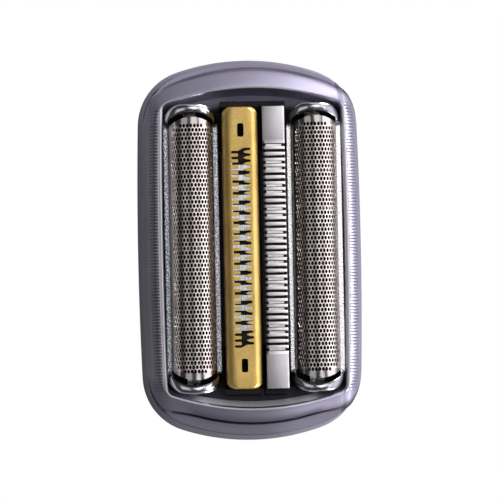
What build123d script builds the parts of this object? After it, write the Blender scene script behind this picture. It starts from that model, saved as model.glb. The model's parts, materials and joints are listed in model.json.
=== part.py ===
# Foil head of an electric shaver: a clip-on cassette with two sprung foils over
# oscillating blade stacks and, between them, a gilt lifting trimmer and a steel trimmer.
# Millimetres. X across the row of cutters, Y along them, Z up out of the foils.
# The origin is at the middle of the rim that the cassette stands on.
from build123d import *

import math
import os

# Row of cutters across X
foil_radius = 3.4
foil_thickness = 0.2
rail_width = 0.65
lift_width = 5.4
direct_width = 3.4
row_gap = 0.7
opening_gap = 0.38
side_rim_width = 3.45

# Lengths along Y
perforated_length = 37.4
foil_end_margin = 1.5
foil_end_gap = 0.8
cap_thickness = 1.3
comb_end_setback = 0.6
post_thickness = 0.85
catch_reach = 0.5
end_ledge = 1.1
inner_bevel = 1.0
end_rim_width = 5.3
floor_opening_length = 30.0

# Heights along Z
socket_depth = 5.4
floor_thickness = 1.2
float_travel = 2.0
catch_height = 0.8
overhang_thickness = 1.5
lip_thickness = 2.2
band_height = 4.8
rail_height = 3.9
foil_axis_rise = 1.3
cap_rise = 2.8
lift_comb_height = 3.4
direct_comb_height = 3.2

# Outline of the frame and of its opening
frame_end_radius = 34.5
frame_side_radius = 600.0
frame_corner_radius = 9.0
opening_end_radius = 40.0
opening_side_radius = 900.0
opening_corner_radius = 1.2
rim_corner_radius = 1.6
frame_wall = 1.2
skirt_side_draft = 0.5
skirt_end_draft = 0.9
step_side_ledge = 0.15
step_end_ledge = 1.66
band_shift = 0.44
band_steps = 3
rim_flat = 0.35
latch_notch_width = 9.0
latch_notch_height = 1.6
latch_notch_depth = 0.5
latch_notch_rise = 2.0

# Foil and its frame
foil_end_radius = 5.0
foil_depth_in_frame = 1.3
foil_tab_width = 2.3
foil_frame_corner_radius = 3.6
rail_chamfer = 0.2
hole_rows = 7
hole_columns = 3
hole_spread_deg = 105.0
hole_width = 1.3
hole_length = 4.0

# Blade stack, its carrier and its drive coupler
cutter_stroke = 1.2
blade_count = 7
blade_thickness = 0.3
blade_gap = 0.14
blade_end_margin = 0.7
blade_drop = 1.8
blade_groove_depth = 0.6
carrier_width = 4.6
carrier_thickness = 2.0
carrier_end = 0.2
coupler_travel = 1.1
coupler_width = 4.0
coupler_plate_length = 9.8
coupler_plate_thickness = 1.0
fork_depth = 2.0
fork_leg = 1.5
drive_slot_width = 2.5
hook_width = 3.0
hook_thickness = 0.8
hook_overlap = 0.6
hook_foot_height = 0.7

# Trimmers
sheet_thickness = 0.3
lift_bevel_width = 1.0
lift_bevel_height = 0.7
lift_corner_radius = 1.3
lift_slot_count = 34
lift_slot_pitch = 0.905
lift_slot_width = 0.4
lift_slot_reach = 1.5
lift_centre_slot = 0.9
lift_eye_width = 1.0
lift_eye_length = 2.1
lift_eye_from_end = 3.6
lift_blade_pitch = 1.54
lift_blade_bar = 0.85
lift_blade_rail = 0.25
lift_holder_wall = 1.2
lift_eye_corner = 0.3
direct_bevel = 0.3
direct_slot_count = 36
direct_slot_pitch = 0.9
direct_slot_width = 0.45
direct_blade_pitch = 1.2
direct_blade_bar = 0.65
direct_blade_rail = 0.3
direct_holder_wall = 0.5
blade_margin = 4.7
driver_thickness = 1.6
holder_side_step = 0.2
holder_tongue = 0.7
tongue_margin = 1.7
holder_catch_width = 2.4
post_height = 1.6
post_overhang = 0.25

# Springs
spring_thickness = 0.2
spring_width = 1.8
spring_foot = 1.6
spring_crown = 1.4
spring_lip = 0.4
spring_from_end = 2.0
cutter_spring_length = 7.0
cutter_spring_pocket_depth = 1.0

# Clearances
seat_gap = 0.05
slide_gap = 0.2
stop_gap = 0.1
floor_gap = 0.4
spring_end_gap = 0.02
through = 1.0

# Places across X, from the left foil to the right one
foil_frame_width = 2 * (foil_radius + seat_gap + rail_width)
row_width = 2 * foil_frame_width + lift_width + direct_width + 3 * row_gap
foil_x = (row_width - foil_frame_width) / 2
lift_x = -row_width / 2 + foil_frame_width + row_gap + lift_width / 2
direct_x = lift_x + lift_width / 2 + row_gap + direct_width / 2
lift_blade_width = lift_width - 2 * (lift_bevel_width + stop_gap)
direct_blade_width = direct_width - 2 * (sheet_thickness + slide_gap)
lift_leg_width = lift_width - 2 * (holder_side_step + lift_holder_wall + slide_gap)
direct_leg_width = direct_width - 2 * (holder_side_step + direct_holder_wall + slide_gap)
opening_width = row_width + 2 * opening_gap
frame_width = opening_width + 2 * side_rim_width

# Half-lengths along Y
foil_half = perforated_length / 2 + foil_end_margin
cap_inner = foil_half + foil_end_gap
foil_frame_half = cap_inner + cap_thickness
comb_length = 2 * (foil_frame_half - comb_end_setback)
blade_half = perforated_length / 2 - blade_end_margin
carrier_half = blade_half + carrier_end
ring_half = carrier_half + cutter_stroke + slide_gap
post_inner = comb_length / 2 + seat_gap
holder_half = post_inner + post_thickness
opening_half_low = max(holder_half, foil_frame_half) + end_ledge
opening_half_top = opening_half_low + inner_bevel
frame_half = opening_half_top + end_rim_width

# Levels along Z
floor_top = socket_depth + floor_thickness
float_base = floor_top + float_travel + floor_gap
overhang_base = float_base + catch_height + stop_gap
chassis_top = overhang_base + overhang_thickness
rim_top = chassis_top + lip_thickness
skirt_top = rim_top - band_height
rail_top = float_base + rail_height
foil_axis = rail_top + foil_axis_rise
foil_top = foil_axis + foil_radius
foil_bottom = rail_top - foil_depth_in_frame
cap_top = rail_top + cap_rise
comb_seat = chassis_top + float_travel + slide_gap
lift_top = comb_seat + lift_comb_height
direct_top = comb_seat + direct_comb_height
carrier_top = foil_axis - blade_drop
carrier_base = carrier_top - carrier_thickness
plate_top = carrier_base - stop_gap - coupler_travel
plate_base = plate_top - coupler_plate_thickness
fork_base = plate_base - fork_depth


def block(x0, x1, y0, y1, z0, z1):
    # Box between two corners.
    middle = Pos((x0 + x1) / 2, (y0 + y1) / 2, (z0 + z1) / 2)
    return middle * Box(x1 - x0, y1 - y0, z1 - z0)


def bar(half_width, half_length, z0, z1):
    # Box centred on the Z axis.
    return block(-half_width, half_width, -half_length, half_length, z0, z1)


def both_ends(piece):
    # A piece and its copy at the other end of Y.
    return [piece, mirror(piece, about=Plane.XZ)]


def slab(sketch, z0, z1):
    # A sketch of the plan, raised from z0 to z1.
    return extrude(Pos(0, 0, z0) * sketch, z1 - z0)


def bulged_outline(half_width, half_length, side_radius, end_radius, corner, side_in=0.0, end_in=0.0):
    # Rectangle with bulged sides and ends, drawn in from its full size by side_in and end_in.
    side = Circle(side_radius - side_in)
    end = Circle(end_radius - end_in)
    outline = Pos(half_width - side_radius, 0) * side & Pos(side_radius - half_width, 0) * side
    outline = outline & Pos(0, half_length - end_radius) * end & Pos(0, end_radius - half_length) * end
    return fillet(outline.vertices(), corner)


def frame_outline(side_in, end_in, corner_in=None):
    # Plan of the frame, drawn in from the foot of its skirt. Its corners tighten by corner_in.
    if corner_in is None:
        corner_in = min(side_in, end_in)
    return bulged_outline(
        frame_width / 2,
        frame_half,
        frame_side_radius,
        frame_end_radius,
        frame_corner_radius - corner_in,
        side_in,
        end_in,
    )


def arched_outline(half_width, half_length, end_radius):
    # Strip with straight sides and an arc at each end.
    reach = half_length - end_radius
    lobes = Rectangle(2 * end_radius, 2 * reach)
    for y in (-reach, reach):
        lobes += Pos(0, y) * Circle(end_radius)
    return lobes & Rectangle(2 * half_width, 2 * half_length)


def opening_outline(half_length):
    # Plan of the frame's mouth.
    return bulged_outline(
        opening_width / 2,
        half_length,
        opening_side_radius,
        opening_end_radius,
        opening_corner_radius,
    )


def band_inset(turn):
    # How far the domed band stands in from the skirt's foot: a quarter ellipse up to the rim.
    share = 1 - math.cos(turn)
    foot_side = skirt_side_draft + step_side_ledge
    foot_end = skirt_end_draft + step_end_ledge
    side = foot_side + (side_rim_width - rim_flat - foot_side) * share
    end = foot_end + (end_rim_width - rim_flat - foot_end) * share
    return side, end


cavity_low = (frame_wall + skirt_side_draft, frame_wall + skirt_end_draft)
ceiling_turn = math.asin((chassis_top - skirt_top) / band_height)
cavity_high = tuple(frame_wall + inset for inset in band_inset(ceiling_turn))
cavity_step = skirt_top - frame_wall


def make_outer_frame():
    # Drafted skirt, a ledge at each end, wider at the front, and a domed band up to the rim.
    skirt = loft(
        [
            frame_outline(0, 0),
            Pos(0, 0, skirt_top) * frame_outline(skirt_side_draft, skirt_end_draft),
        ],
        ruled=True,
    )
    rings = []
    for step in range(band_steps + 1):
        turn = math.pi / 2 * step / band_steps
        foot_share = math.cos(turn)
        corner_in = (frame_corner_radius - rim_corner_radius) * (1 - foot_share)
        level = Pos(0, band_shift * foot_share, skirt_top + band_height * math.sin(turn))
        rings.append(level * frame_outline(*band_inset(turn), max(corner_in, skirt_side_draft)))
    shell = skirt + loft(rings, ruled=True)
    shell -= slab(frame_outline(*cavity_low), -through, cavity_step)
    shell -= slab(frame_outline(*cavity_high), -through, chassis_top)
    shell -= loft(
        [
            Pos(0, 0, chassis_top - seat_gap) * opening_outline(opening_half_low),
            Pos(0, 0, rim_top + seat_gap) * opening_outline(opening_half_top),
        ],
        ruled=True,
    )
    cavity_end = frame_half - cavity_low[1]
    notch = block(
        -latch_notch_width / 2,
        latch_notch_width / 2,
        cavity_end - through,
        cavity_end + latch_notch_depth,
        latch_notch_rise,
        latch_notch_rise + latch_notch_height,
    )
    return shell - both_ends(notch)


def foil_bay():
    # Room for one foil frame in the chassis, with an undercut for the catch at each end.
    bay = slab(
        RectangleRounded(
            foil_frame_width + 2 * slide_gap,
            2 * (foil_frame_half + slide_gap),
            foil_frame_corner_radius + slide_gap,
        ),
        floor_top,
        chassis_top + through,
    )
    reach = foil_frame_half + catch_reach + slide_gap
    return bay + bar(holder_catch_width / 2 + slide_gap, reach, floor_top, overhang_base)


def holder_bay(width):
    # Room for one trimmer holder in the chassis.
    half_width = width / 2 - holder_side_step + slide_gap
    bay = bar(half_width, holder_half + slide_gap, floor_top, chassis_top + through)
    catch_half = min(holder_catch_width / 2 + slide_gap, half_width)
    return bay + bar(catch_half, holder_half + catch_reach + slide_gap, floor_top, overhang_base)


def make_chassis():
    # Ring under the rim: floor ledges that carry the springs, bays that guide the cutters.
    low = frame_outline(cavity_low[0] + seat_gap, cavity_low[1] + seat_gap)
    high = frame_outline(cavity_high[0] + seat_gap, cavity_high[1] + seat_gap)
    ring = slab(low, socket_depth, cavity_step) + slab(high, cavity_step, chassis_top)
    for x in (-foil_x, foil_x):
        ring -= Pos(x, 0, 0) * foil_bay()
    ring -= Pos(lift_x, 0, 0) * holder_bay(lift_width)
    ring -= Pos(direct_x, 0, 0) * holder_bay(direct_width)
    half_opening = foil_x + foil_frame_width / 2 + slide_gap
    ring -= bar(half_opening, floor_opening_length / 2, socket_depth - through, chassis_top + through)
    return ring


def make_foil_frame():
    # Plated ring with a rail along each flank of the foil and an arched cap at each end.
    plan = RectangleRounded(foil_frame_width, 2 * foil_frame_half, foil_frame_corner_radius)
    ring = slab(plan, float_base, rail_top)
    ring = chamfer(ring.faces().sort_by(Axis.Z)[-1].edges(), rail_chamfer)
    half_width = foil_frame_width / 2
    arch_radius = (half_width**2 + cap_rise**2) / (2 * cap_rise)
    arch = Pos(0, cap_top - arch_radius) * Circle(arch_radius)
    caps = extrude(Plane.XZ * arch, foil_frame_half, both=True)
    caps &= slab(plan, rail_top - rail_chamfer, cap_top)
    caps -= bar(half_width, cap_inner - foil_frame_corner_radius / 2, rail_top, cap_top)
    ring = ring + caps
    room = arched_outline(foil_radius + seat_gap, cap_inner, foil_end_radius + foil_end_gap)
    ring -= slab(room, foil_bottom - seat_gap, cap_top + through)
    ring -= bar(foil_radius + seat_gap, ring_half, float_base - through, foil_bottom)
    return ring + both_ends(
        block(
            -holder_catch_width / 2,
            holder_catch_width / 2,
            foil_frame_half - cap_thickness / 2,
            foil_frame_half + catch_reach,
            float_base,
            float_base + catch_height,
        )
    )


def make_foil():
    # Arched sheet with straight flanks, rounded ends, an end tab each way and staggered holes.
    drop = foil_axis - foil_bottom
    outer = Circle(foil_radius) + Pos(0, -drop / 2) * Rectangle(2 * foil_radius, drop)
    inner_radius = foil_radius - foil_thickness
    inner = Circle(inner_radius) + Pos(0, -drop) * Rectangle(2 * inner_radius, 2 * drop)
    lower = Pos(0, -drop - foil_radius) * Rectangle(4 * foil_radius, 2 * foil_radius)
    arch = Pos(0, foil_axis) * (outer - inner - lower)
    sheet = extrude(Plane.XZ * arch, cap_inner, both=True)
    plan = arched_outline(foil_radius + seat_gap / 2, foil_half, foil_end_radius)
    plan += Rectangle(foil_tab_width, 2 * cap_inner)
    sheet &= slab(plan, foil_bottom - through, foil_top + through)
    row_pitch = (perforated_length - hole_length) / (hole_rows - 1)
    column_angle = hole_spread_deg / (hole_columns - 1)
    punch = Pos(0, 0, foil_radius) * Box(hole_width, hole_length, foil_radius)
    holes = []
    for row in range(hole_rows):
        y = (row - (hole_rows - 1) / 2) * row_pitch
        columns = hole_columns - row % 2
        for column in range(columns):
            angle = (column - (columns - 1) / 2) * column_angle
            holes.append(Pos(0, y, foil_axis) * Rot(0, angle, 0) * punch)
    return sheet - holes


def blade_places():
    # Places of the blades along the stack.
    pitch = 2 * (blade_half - blade_thickness / 2) / (blade_count - 1)
    return [(n - (blade_count - 1) / 2) * pitch for n in range(blade_count)]


def make_blades():
    # Half-round blades, each with a foot that stands in the carrier.
    radius = foil_radius - foil_thickness - blade_gap
    foot = carrier_top - blade_groove_depth
    half_foot = carrier_width / 2 - slide_gap
    plate = Circle(radius) - Pos(0, -radius) * Rectangle(4 * radius, 2 * radius)
    plate = Pos(0, foil_axis) * plate
    plate += Polygon(
        (-radius, foil_axis),
        (-half_foot, foot),
        (half_foot, foot),
        (radius, foil_axis),
        align=None,
    )
    blade = extrude(Plane.XZ * plate, blade_thickness / 2, both=True)
    return Compound([Pos(0, y, 0) * blade for y in blade_places()])


def make_carrier():
    # Moulded bar that holds the blades, with two hooks that carry the drive coupler.
    half_width = carrier_width / 2
    body = bar(half_width, carrier_half, carrier_base, carrier_top)
    groove_base = carrier_top - blade_groove_depth
    groove = bar(half_width + through, blade_thickness / 2, groove_base, carrier_top + through)
    body -= [Pos(0, y, 0) * groove for y in blade_places()]
    arm_inner = coupler_plate_length / 2 + stop_gap
    arm_outer = arm_inner + hook_thickness
    foot_top = plate_base - stop_gap
    half_hook = hook_width / 2
    arm = block(-half_hook, half_hook, arm_inner, arm_outer, foot_top - hook_foot_height, carrier_base)
    foot = block(
        -half_hook,
        half_hook,
        arm_inner - hook_overlap,
        arm_inner,
        foot_top - hook_foot_height,
        foot_top,
    )
    body += both_ends(arm + foot)
    return body - bar(
        spring_width / 2 + slide_gap,
        cutter_spring_length / 2 + slide_gap,
        carrier_base - through,
        carrier_base + cutter_spring_pocket_depth,
    )


def make_coupler():
    # Sprung plate with a fork that takes the shaver's drive pin.
    half_width = coupler_width / 2
    plate = bar(half_width, coupler_plate_length / 2, plate_base, plate_top)
    leg = block(
        -half_width,
        half_width,
        drive_slot_width / 2,
        drive_slot_width / 2 + fork_leg,
        fork_base,
        plate_base,
    )
    return plate + both_ends(leg)


def leaf(path):
    # Flat spring bent along a path of (y, z) points, its lower face.
    upper = [(y, z + spring_thickness) for y, z in reversed(path)]
    return extrude(Plane.YZ * Polygon(*path, *upper, align=None), spring_width / 2, both=True)


def make_float_spring(seat_y):
    # Leaf that stands on the floor ledge and lifts one end of a foil frame or a trimmer holder.
    foot_y = floor_opening_length / 2 + slide_gap
    low = floor_top + spring_end_gap
    high = float_base - spring_thickness - spring_end_gap
    crown = spring_crown / 2
    path = [
        (foot_y, low),
        (foot_y + spring_foot, low),
        (seat_y - crown, high),
        (seat_y + crown / 2, high),
        (seat_y + crown, high - spring_lip),
    ]
    return leaf(path)


def make_cutter_spring():
    # Bow between the coupler and the carrier, which presses the blades against the foil.
    low = plate_top + spring_end_gap
    high = carrier_base + cutter_spring_pocket_depth - spring_thickness - spring_end_gap
    half = cutter_spring_length / 2
    crown = spring_crown / 2
    path = [
        (-half, low),
        (-half + crown, low),
        (-crown, high),
        (crown, high),
        (half - crown, low),
        (half, low),
    ]
    return leaf(path)


def folded_profile(half, bevel_level, flat, top, foot):
    # Section of a folded cap: two flanks, a bevel on each and a flat top.
    left = [(-half, foot), (-half, bevel_level), (-flat, top)]
    right = [(flat, top), (half, bevel_level), (half, foot)]
    return Polygon(*left, *right, align=None)


def make_lift_comb():
    # Folded gilt cap with bevelled flanks and a slot whose teeth are staggered from side to side.
    half = lift_width / 2
    flat = half - lift_bevel_width
    bevel_level = lift_top - lift_bevel_height
    t = sheet_thickness
    outer = folded_profile(half, bevel_level, flat, lift_top, comb_seat)
    inner = folded_profile(half - t, bevel_level - t / 2, flat - t / 2, lift_top - t, comb_seat - through)
    profile = outer - inner
    cap = extrude(Plane.XZ * profile, comb_length / 2, both=True)
    plan = RectangleRounded(lift_width, comb_length, lift_corner_radius)
    cap &= slab(plan, comb_seat - through, lift_top + through)
    span = (lift_slot_count - 1) * lift_slot_pitch
    slots = Rectangle(lift_centre_slot, span)
    stagger = lift_slot_pitch / 2
    for n in range(lift_slot_count):
        y = n * lift_slot_pitch - span / 2
        slots += Pos(-lift_slot_reach / 2, y - stagger / 2) * Rectangle(lift_slot_reach, lift_slot_width)
        slots += Pos(lift_slot_reach / 2, y + stagger / 2) * Rectangle(lift_slot_reach, lift_slot_width)
    eye = RectangleRounded(lift_eye_width, lift_eye_length, lift_eye_corner)
    eye = Pos(0, comb_length / 2 - lift_eye_from_end) * eye
    cap -= slab(slots, lift_top - through, lift_top + through)
    return cap - both_ends(slab(eye, lift_top - through, lift_top + through))


def make_direct_comb():
    # Folded steel cap with slots across its whole width.
    half = direct_width / 2
    flat = half - direct_bevel
    bevel_level = direct_top - direct_bevel
    profile = folded_profile(half, bevel_level, flat, direct_top, comb_seat)
    inner = Rectangle(2 * (half - sheet_thickness), 2 * direct_comb_height)
    profile -= Pos(0, comb_seat - sheet_thickness) * inner
    cap = extrude(Plane.XZ * profile, comb_length / 2, both=True)
    slot = bar(direct_width, direct_slot_width / 2, direct_top - sheet_thickness, direct_top + through)
    middle = (direct_slot_count - 1) / 2
    return cap - [Pos(0, (n - middle) * direct_slot_pitch, 0) * slot for n in range(direct_slot_count)]


def make_trimmer_blade(width, rail, pitch, bar_width, top):
    # Ladder of cutting bars that slides under a comb.
    half = comb_length / 2 - blade_margin
    z1 = top - sheet_thickness - stop_gap
    z0 = z1 - sheet_thickness
    windows = int((2 * half - 2 * pitch) / pitch)
    window = bar(width / 2 - rail, (pitch - bar_width) / 2, z0 - through, z1 + through)
    middle = (windows - 1) / 2
    ladder = bar(width / 2, half, z0, z1)
    return ladder - [Pos(0, (n - middle) * pitch, 0) * window for n in range(windows)]


def make_driver(width, leg_width, top):
    # Bar under a trimmer blade, with a forked leg that takes the shaver's drive pin.
    z1 = top - 2 * sheet_thickness - stop_gap
    z0 = z1 - driver_thickness
    beam = bar(width / 2, comb_length / 2 - blade_margin, z0, z1)
    leg_half = drive_slot_width / 2 + fork_leg
    leg = bar(leg_width / 2, leg_half, fork_base, z0)
    leg -= bar(leg_width, drive_slot_width / 2, fork_base - through, plate_base)
    return beam + leg


def make_holder(width, leg_width):
    # Moulded beam that carries a comb, with a post and a catch at each end.
    half = width / 2 - holder_side_step
    body = bar(half, holder_half, float_base, comb_seat)
    tongue_half = width / 2 - sheet_thickness - seat_gap
    body += bar(tongue_half, comb_length / 2 - tongue_margin, comb_seat, comb_seat + holder_tongue)
    post_half = width / 2 + post_overhang
    post = block(-post_half, post_half, post_inner, holder_half, comb_seat, comb_seat + post_height)
    catch_half = min(holder_catch_width / 2, half)
    catch = block(
        -catch_half,
        catch_half,
        holder_half - post_thickness,
        holder_half + catch_reach,
        float_base,
        float_base + catch_height,
    )
    body += both_ends(post)
    body += both_ends(catch)
    window_half = drive_slot_width / 2 + fork_leg + cutter_stroke + slide_gap
    tongue_top = comb_seat + holder_tongue
    return body - bar(leg_width / 2 + slide_gap, window_half, float_base - through, tongue_top + through)


def make_parts():
    # Every piece in its place, by name.
    parts = {"outer_frame": make_outer_frame(), "chassis": make_chassis()}
    foil_frame = make_foil_frame()
    foil = make_foil()
    blades = make_blades()
    carrier = make_carrier()
    coupler = make_coupler()
    cutter_spring = make_cutter_spring()
    for side, x in (("left", -foil_x), ("right", foil_x)):
        place = Pos(x, 0, 0)
        parts["foil_frame_" + side] = place * foil_frame
        parts["foil_" + side] = place * foil
        parts["cutter_blades_" + side] = place * blades
        parts["cutter_carrier_" + side] = place * carrier
        parts["cutter_spring_" + side] = place * cutter_spring
        parts["drive_coupler_" + side] = place * coupler
    at_lift = Pos(lift_x, 0, 0)
    parts["lift_comb"] = at_lift * make_lift_comb()
    parts["lift_blade"] = at_lift * make_trimmer_blade(
        lift_blade_width, lift_blade_rail, lift_blade_pitch, lift_blade_bar, lift_top
    )
    parts["lift_driver"] = at_lift * make_driver(lift_blade_width, lift_leg_width, lift_top)
    parts["lift_holder"] = at_lift * make_holder(lift_width, lift_leg_width)
    at_direct = Pos(direct_x, 0, 0)
    parts["direct_comb"] = at_direct * make_direct_comb()
    parts["direct_blade"] = at_direct * make_trimmer_blade(
        direct_blade_width, direct_blade_rail, direct_blade_pitch, direct_blade_bar, direct_top
    )
    parts["direct_driver"] = at_direct * make_driver(direct_blade_width, direct_leg_width, direct_top)
    parts["direct_holder"] = at_direct * make_holder(direct_width, direct_leg_width)
    foil_seat = (ring_half + foil_frame_half) / 2
    trimmer_seat = holder_half - spring_from_end
    seats = {
        "left": (-foil_x, foil_seat),
        "right": (foil_x, foil_seat),
        "lift": (lift_x, trimmer_seat),
        "direct": (direct_x, trimmer_seat),
    }
    for name, (x, seat_y) in seats.items():
        spring = make_float_spring(seat_y)
        parts["float_spring_" + name + "_front"] = Pos(x, 0, 0) * mirror(spring, about=Plane.XZ)
        parts["float_spring_" + name + "_rear"] = Pos(x, 0, 0) * spring
    return parts


os.makedirs("parts", exist_ok=True)
for name, part in make_parts().items():
    export_step(part, "parts/" + name + ".step")
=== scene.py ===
import json
from functools import partialmethod
from math import asin, atan, atan2, copysign, cos, dist, hypot, pi, radians, sin, sqrt, tan

import bmesh
import bpy
from mathutils import Matrix, Vector


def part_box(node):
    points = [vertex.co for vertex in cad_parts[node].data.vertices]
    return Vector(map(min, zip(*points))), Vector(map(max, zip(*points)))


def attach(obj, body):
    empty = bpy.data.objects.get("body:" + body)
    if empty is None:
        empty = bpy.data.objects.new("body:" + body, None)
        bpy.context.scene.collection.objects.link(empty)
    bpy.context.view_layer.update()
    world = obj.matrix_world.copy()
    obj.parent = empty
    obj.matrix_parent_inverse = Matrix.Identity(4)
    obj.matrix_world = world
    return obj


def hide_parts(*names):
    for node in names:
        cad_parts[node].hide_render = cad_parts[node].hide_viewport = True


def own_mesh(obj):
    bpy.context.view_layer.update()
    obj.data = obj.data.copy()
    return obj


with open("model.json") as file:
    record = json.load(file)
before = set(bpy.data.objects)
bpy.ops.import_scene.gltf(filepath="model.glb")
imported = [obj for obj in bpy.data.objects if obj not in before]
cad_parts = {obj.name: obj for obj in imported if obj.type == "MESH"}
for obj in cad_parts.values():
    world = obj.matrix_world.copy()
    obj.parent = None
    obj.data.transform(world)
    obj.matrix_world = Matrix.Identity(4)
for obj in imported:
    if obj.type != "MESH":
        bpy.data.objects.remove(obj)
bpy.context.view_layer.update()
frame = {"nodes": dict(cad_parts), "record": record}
nodes = frame["nodes"]
mm = 0.001
print("frame loaded:", len(nodes), "nodes")


class Sizes(dict):  # a dictionary whose entries also read as attributes
    __getattr__ = dict.__getitem__


def ease(value, start=0.0, end=1.0):
    share = min(max((value - start) / (end - start), 0.0), 1.0)
    return share * share * (3 - 2 * share)


def quarterTurns(steps):
    return [pi / 2 * step / steps for step in range(steps + 1)]


def cornerArc(x, y, radius, steps):  # the quarter circle inside a corner at x and y
    turns = quarterTurns(steps)
    return [(x - radius + radius * cos(turn), y - radius + radius * sin(turn)) for turn in turns]


def measure(node):  # half width, half length, bottom, top and middle of X, in millimetres
    low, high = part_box(node)
    return [size / mm for size in ((high.x - low.x) / 2, high.y, low.z, high.z, (low.x + high.x) / 2)]


class Wire:  # one output socket, so that sums on it read as Python
    def __init__(self, graph, socket):
        self.graph = graph
        self.socket = socket

    def call(self, operation, other=0.0):  # sine, floor, greater than and the like
        return self.graph.node("ShaderNodeMath", {0: self, 1: other}, {"operation": operation})

    def __rsub__(self, other):
        return self * -1.0 + other

    __add__ = __radd__ = partialmethod(call, "ADD")
    __sub__ = partialmethod(call, "SUBTRACT")
    __mul__ = __rmul__ = partialmethod(call, "MULTIPLY")
    __truediv__ = partialmethod(call, "DIVIDE")
    __abs__ = partialmethod(call, "ABSOLUTE")
    atLeast = partialmethod(call, "MAXIMUM")
    atMost = partialmethod(call, "MINIMUM")

    def ramp(self, base, share):  # a base value, and a share of this one on top
        return base + self * share

    def fade(self, start, end):  # 0 at start, 1 at end, eased
        eased = {"interpolation_type": "SMOOTHSTEP"}
        return self.graph.node("ShaderNodeMapRange", {0: self, 1: start, 2: end}, eased)

    def between(self, places):  # the same, from place to place in millimetres
        return self.fade(places[0] * mm, places[1] * mm)


class Graph:  # a node tree, for shaders and for geometry alike
    def __init__(self, tree):
        self.tree = tree
        self.sockets = {}

    def node(self, kind, sockets=None, settings=None, output=0):
        made = self.tree.nodes.new(kind)
        for name, value in (settings or {}).items():
            setattr(made, name, value)
        for name, value in (sockets or {}).items():
            if isinstance(value, Wire):
                self.tree.links.new(value.socket, made.inputs[name])
            else:
                made.inputs[name].default_value = value
        return Wire(self, made.outputs[output]) if made.outputs else None

    def mix(self, factor, first, second):
        return self.node("ShaderNodeMix", {0: factor, 6: first, 7: second}, {"data_type": "RGBA"}, 2)

    def noise(self, scale, detail=2.0, drawnOut=None):  # may be drawn out along an axis
        coords = self.coords
        if drawnOut:
            coords = self.node("ShaderNodeMapping", {"Vector": coords, "Scale": drawnOut})
        return self.node("ShaderNodeTexNoise", {"Vector": coords, "Scale": scale, "Detail": detail})

    def split(self, vector):
        return [self.node("ShaderNodeSeparateXYZ", {0: vector}, output=axis) for axis in range(3)]

    def place(self):  # where on the part
        return self.split(self.coords)

    def pointsAt(self, count, x, y):  # points that are put in place by their index
        line = self.node("GeometryNodeMeshLine", {"Count": count, "Offset": (0, 0, 0)}, {"mode": "OFFSET"})
        spot = self.node("ShaderNodeCombineXYZ", {0: x, 1: y, 2: 0.0})
        return self.node("GeometryNodeSetPosition", {"Geometry": line, "Position": spot})

    def copies(self, spots, instance, **choice):
        sockets = {"Points": spots, "Instance": instance, **choice}
        return self.node("GeometryNodeInstanceOnPoints", sockets)

    def shapeOf(self, helper):
        return self.node("GeometryNodeObjectInfo", {"Object": helper}, output="Geometry")

    def join(self, pieces):
        joined = self.tree.nodes.new("GeometryNodeJoinGeometry")
        for piece in pieces:
            self.tree.links.new(piece.socket, joined.inputs[0])
        return Wire(self, joined.outputs[0])

    def weld(self, geometry, distance):
        return self.node("GeometryNodeMergeByDistance", {0: geometry, "Distance": distance * mm})


def startLook(name):
    look = bpy.data.materials.new(name)
    look.use_nodes = True
    look.node_tree.nodes.clear()
    graph = Graph(look.node_tree)
    graph.look = look
    graph.coords = graph.node("ShaderNodeTexCoord", output="Object")
    return graph


def endLook(graph, colour, rough, height, depth, metallic=0.0, specular=0.5, coat=(0.0, 0.0)):
    values = {
        "Base Color": colour, "Roughness": rough, "Metallic": metallic, "Specular IOR Level": specular,
        "Coat Weight": coat[0], "Coat Roughness": coat[1],
        "Normal": graph.node("ShaderNodeBump", {"Height": height, "Distance": depth * mm}),
    }
    shader = graph.node("ShaderNodeBsdfPrincipled", values)
    graph.node("ShaderNodeOutputMaterial", {"Surface": shader})
    return graph.look


# The shell: a drafted skirt, a ledge at each end, a domed band and a mouth with bevelled ends.
shell = Sizes(
    endRadius=34.5, sideRadius=600.0, cornerRadius=9.0,
    mouthEndRadius=40.0, mouthSideRadius=900.0, mouthCorner=1.2, rimCorner=1.6,
    mouthHalfWidth=14.03, mouthHalfTop=24.7, mouthHalfLow=23.7,
    skirtTop=8.8, rimTop=13.6, ceiling=11.4, innerStep=7.6,
    skirtSide=0.5, skirtEnd=0.9, bandEnd=2.56, bandShift=0.44, rimSide=3.1, rimEnd=4.95,
    wall=1.2, edge=0.14, edgeCut=0.3, rimRound=0.3, endCrisp=0.35, endWall=0.52, endSoft=0.02,
    crease=0.4, ledgeEnds=(22.0, 26.0), ledgePull=0.97,
    weld=0.02, domeSteps=12, rimSteps=4, arcSteps=(16, 12, 14),
)

# Grip ribs along the long sides: short bars that follow the dome.
ribs = Sizes(
    count=93, pitch=0.48, thick=0.15, turns=(50.0, 65.0, 80.0), taper=6.0, endSize=0.35, sides=8, bends=6,
    # Where shade is painted between the ribs
    grimeFrom=(14.75, 14.85), grimeTo=(16.2, 16.05), grimeEnds=(22.86, 21.36),
)

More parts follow.
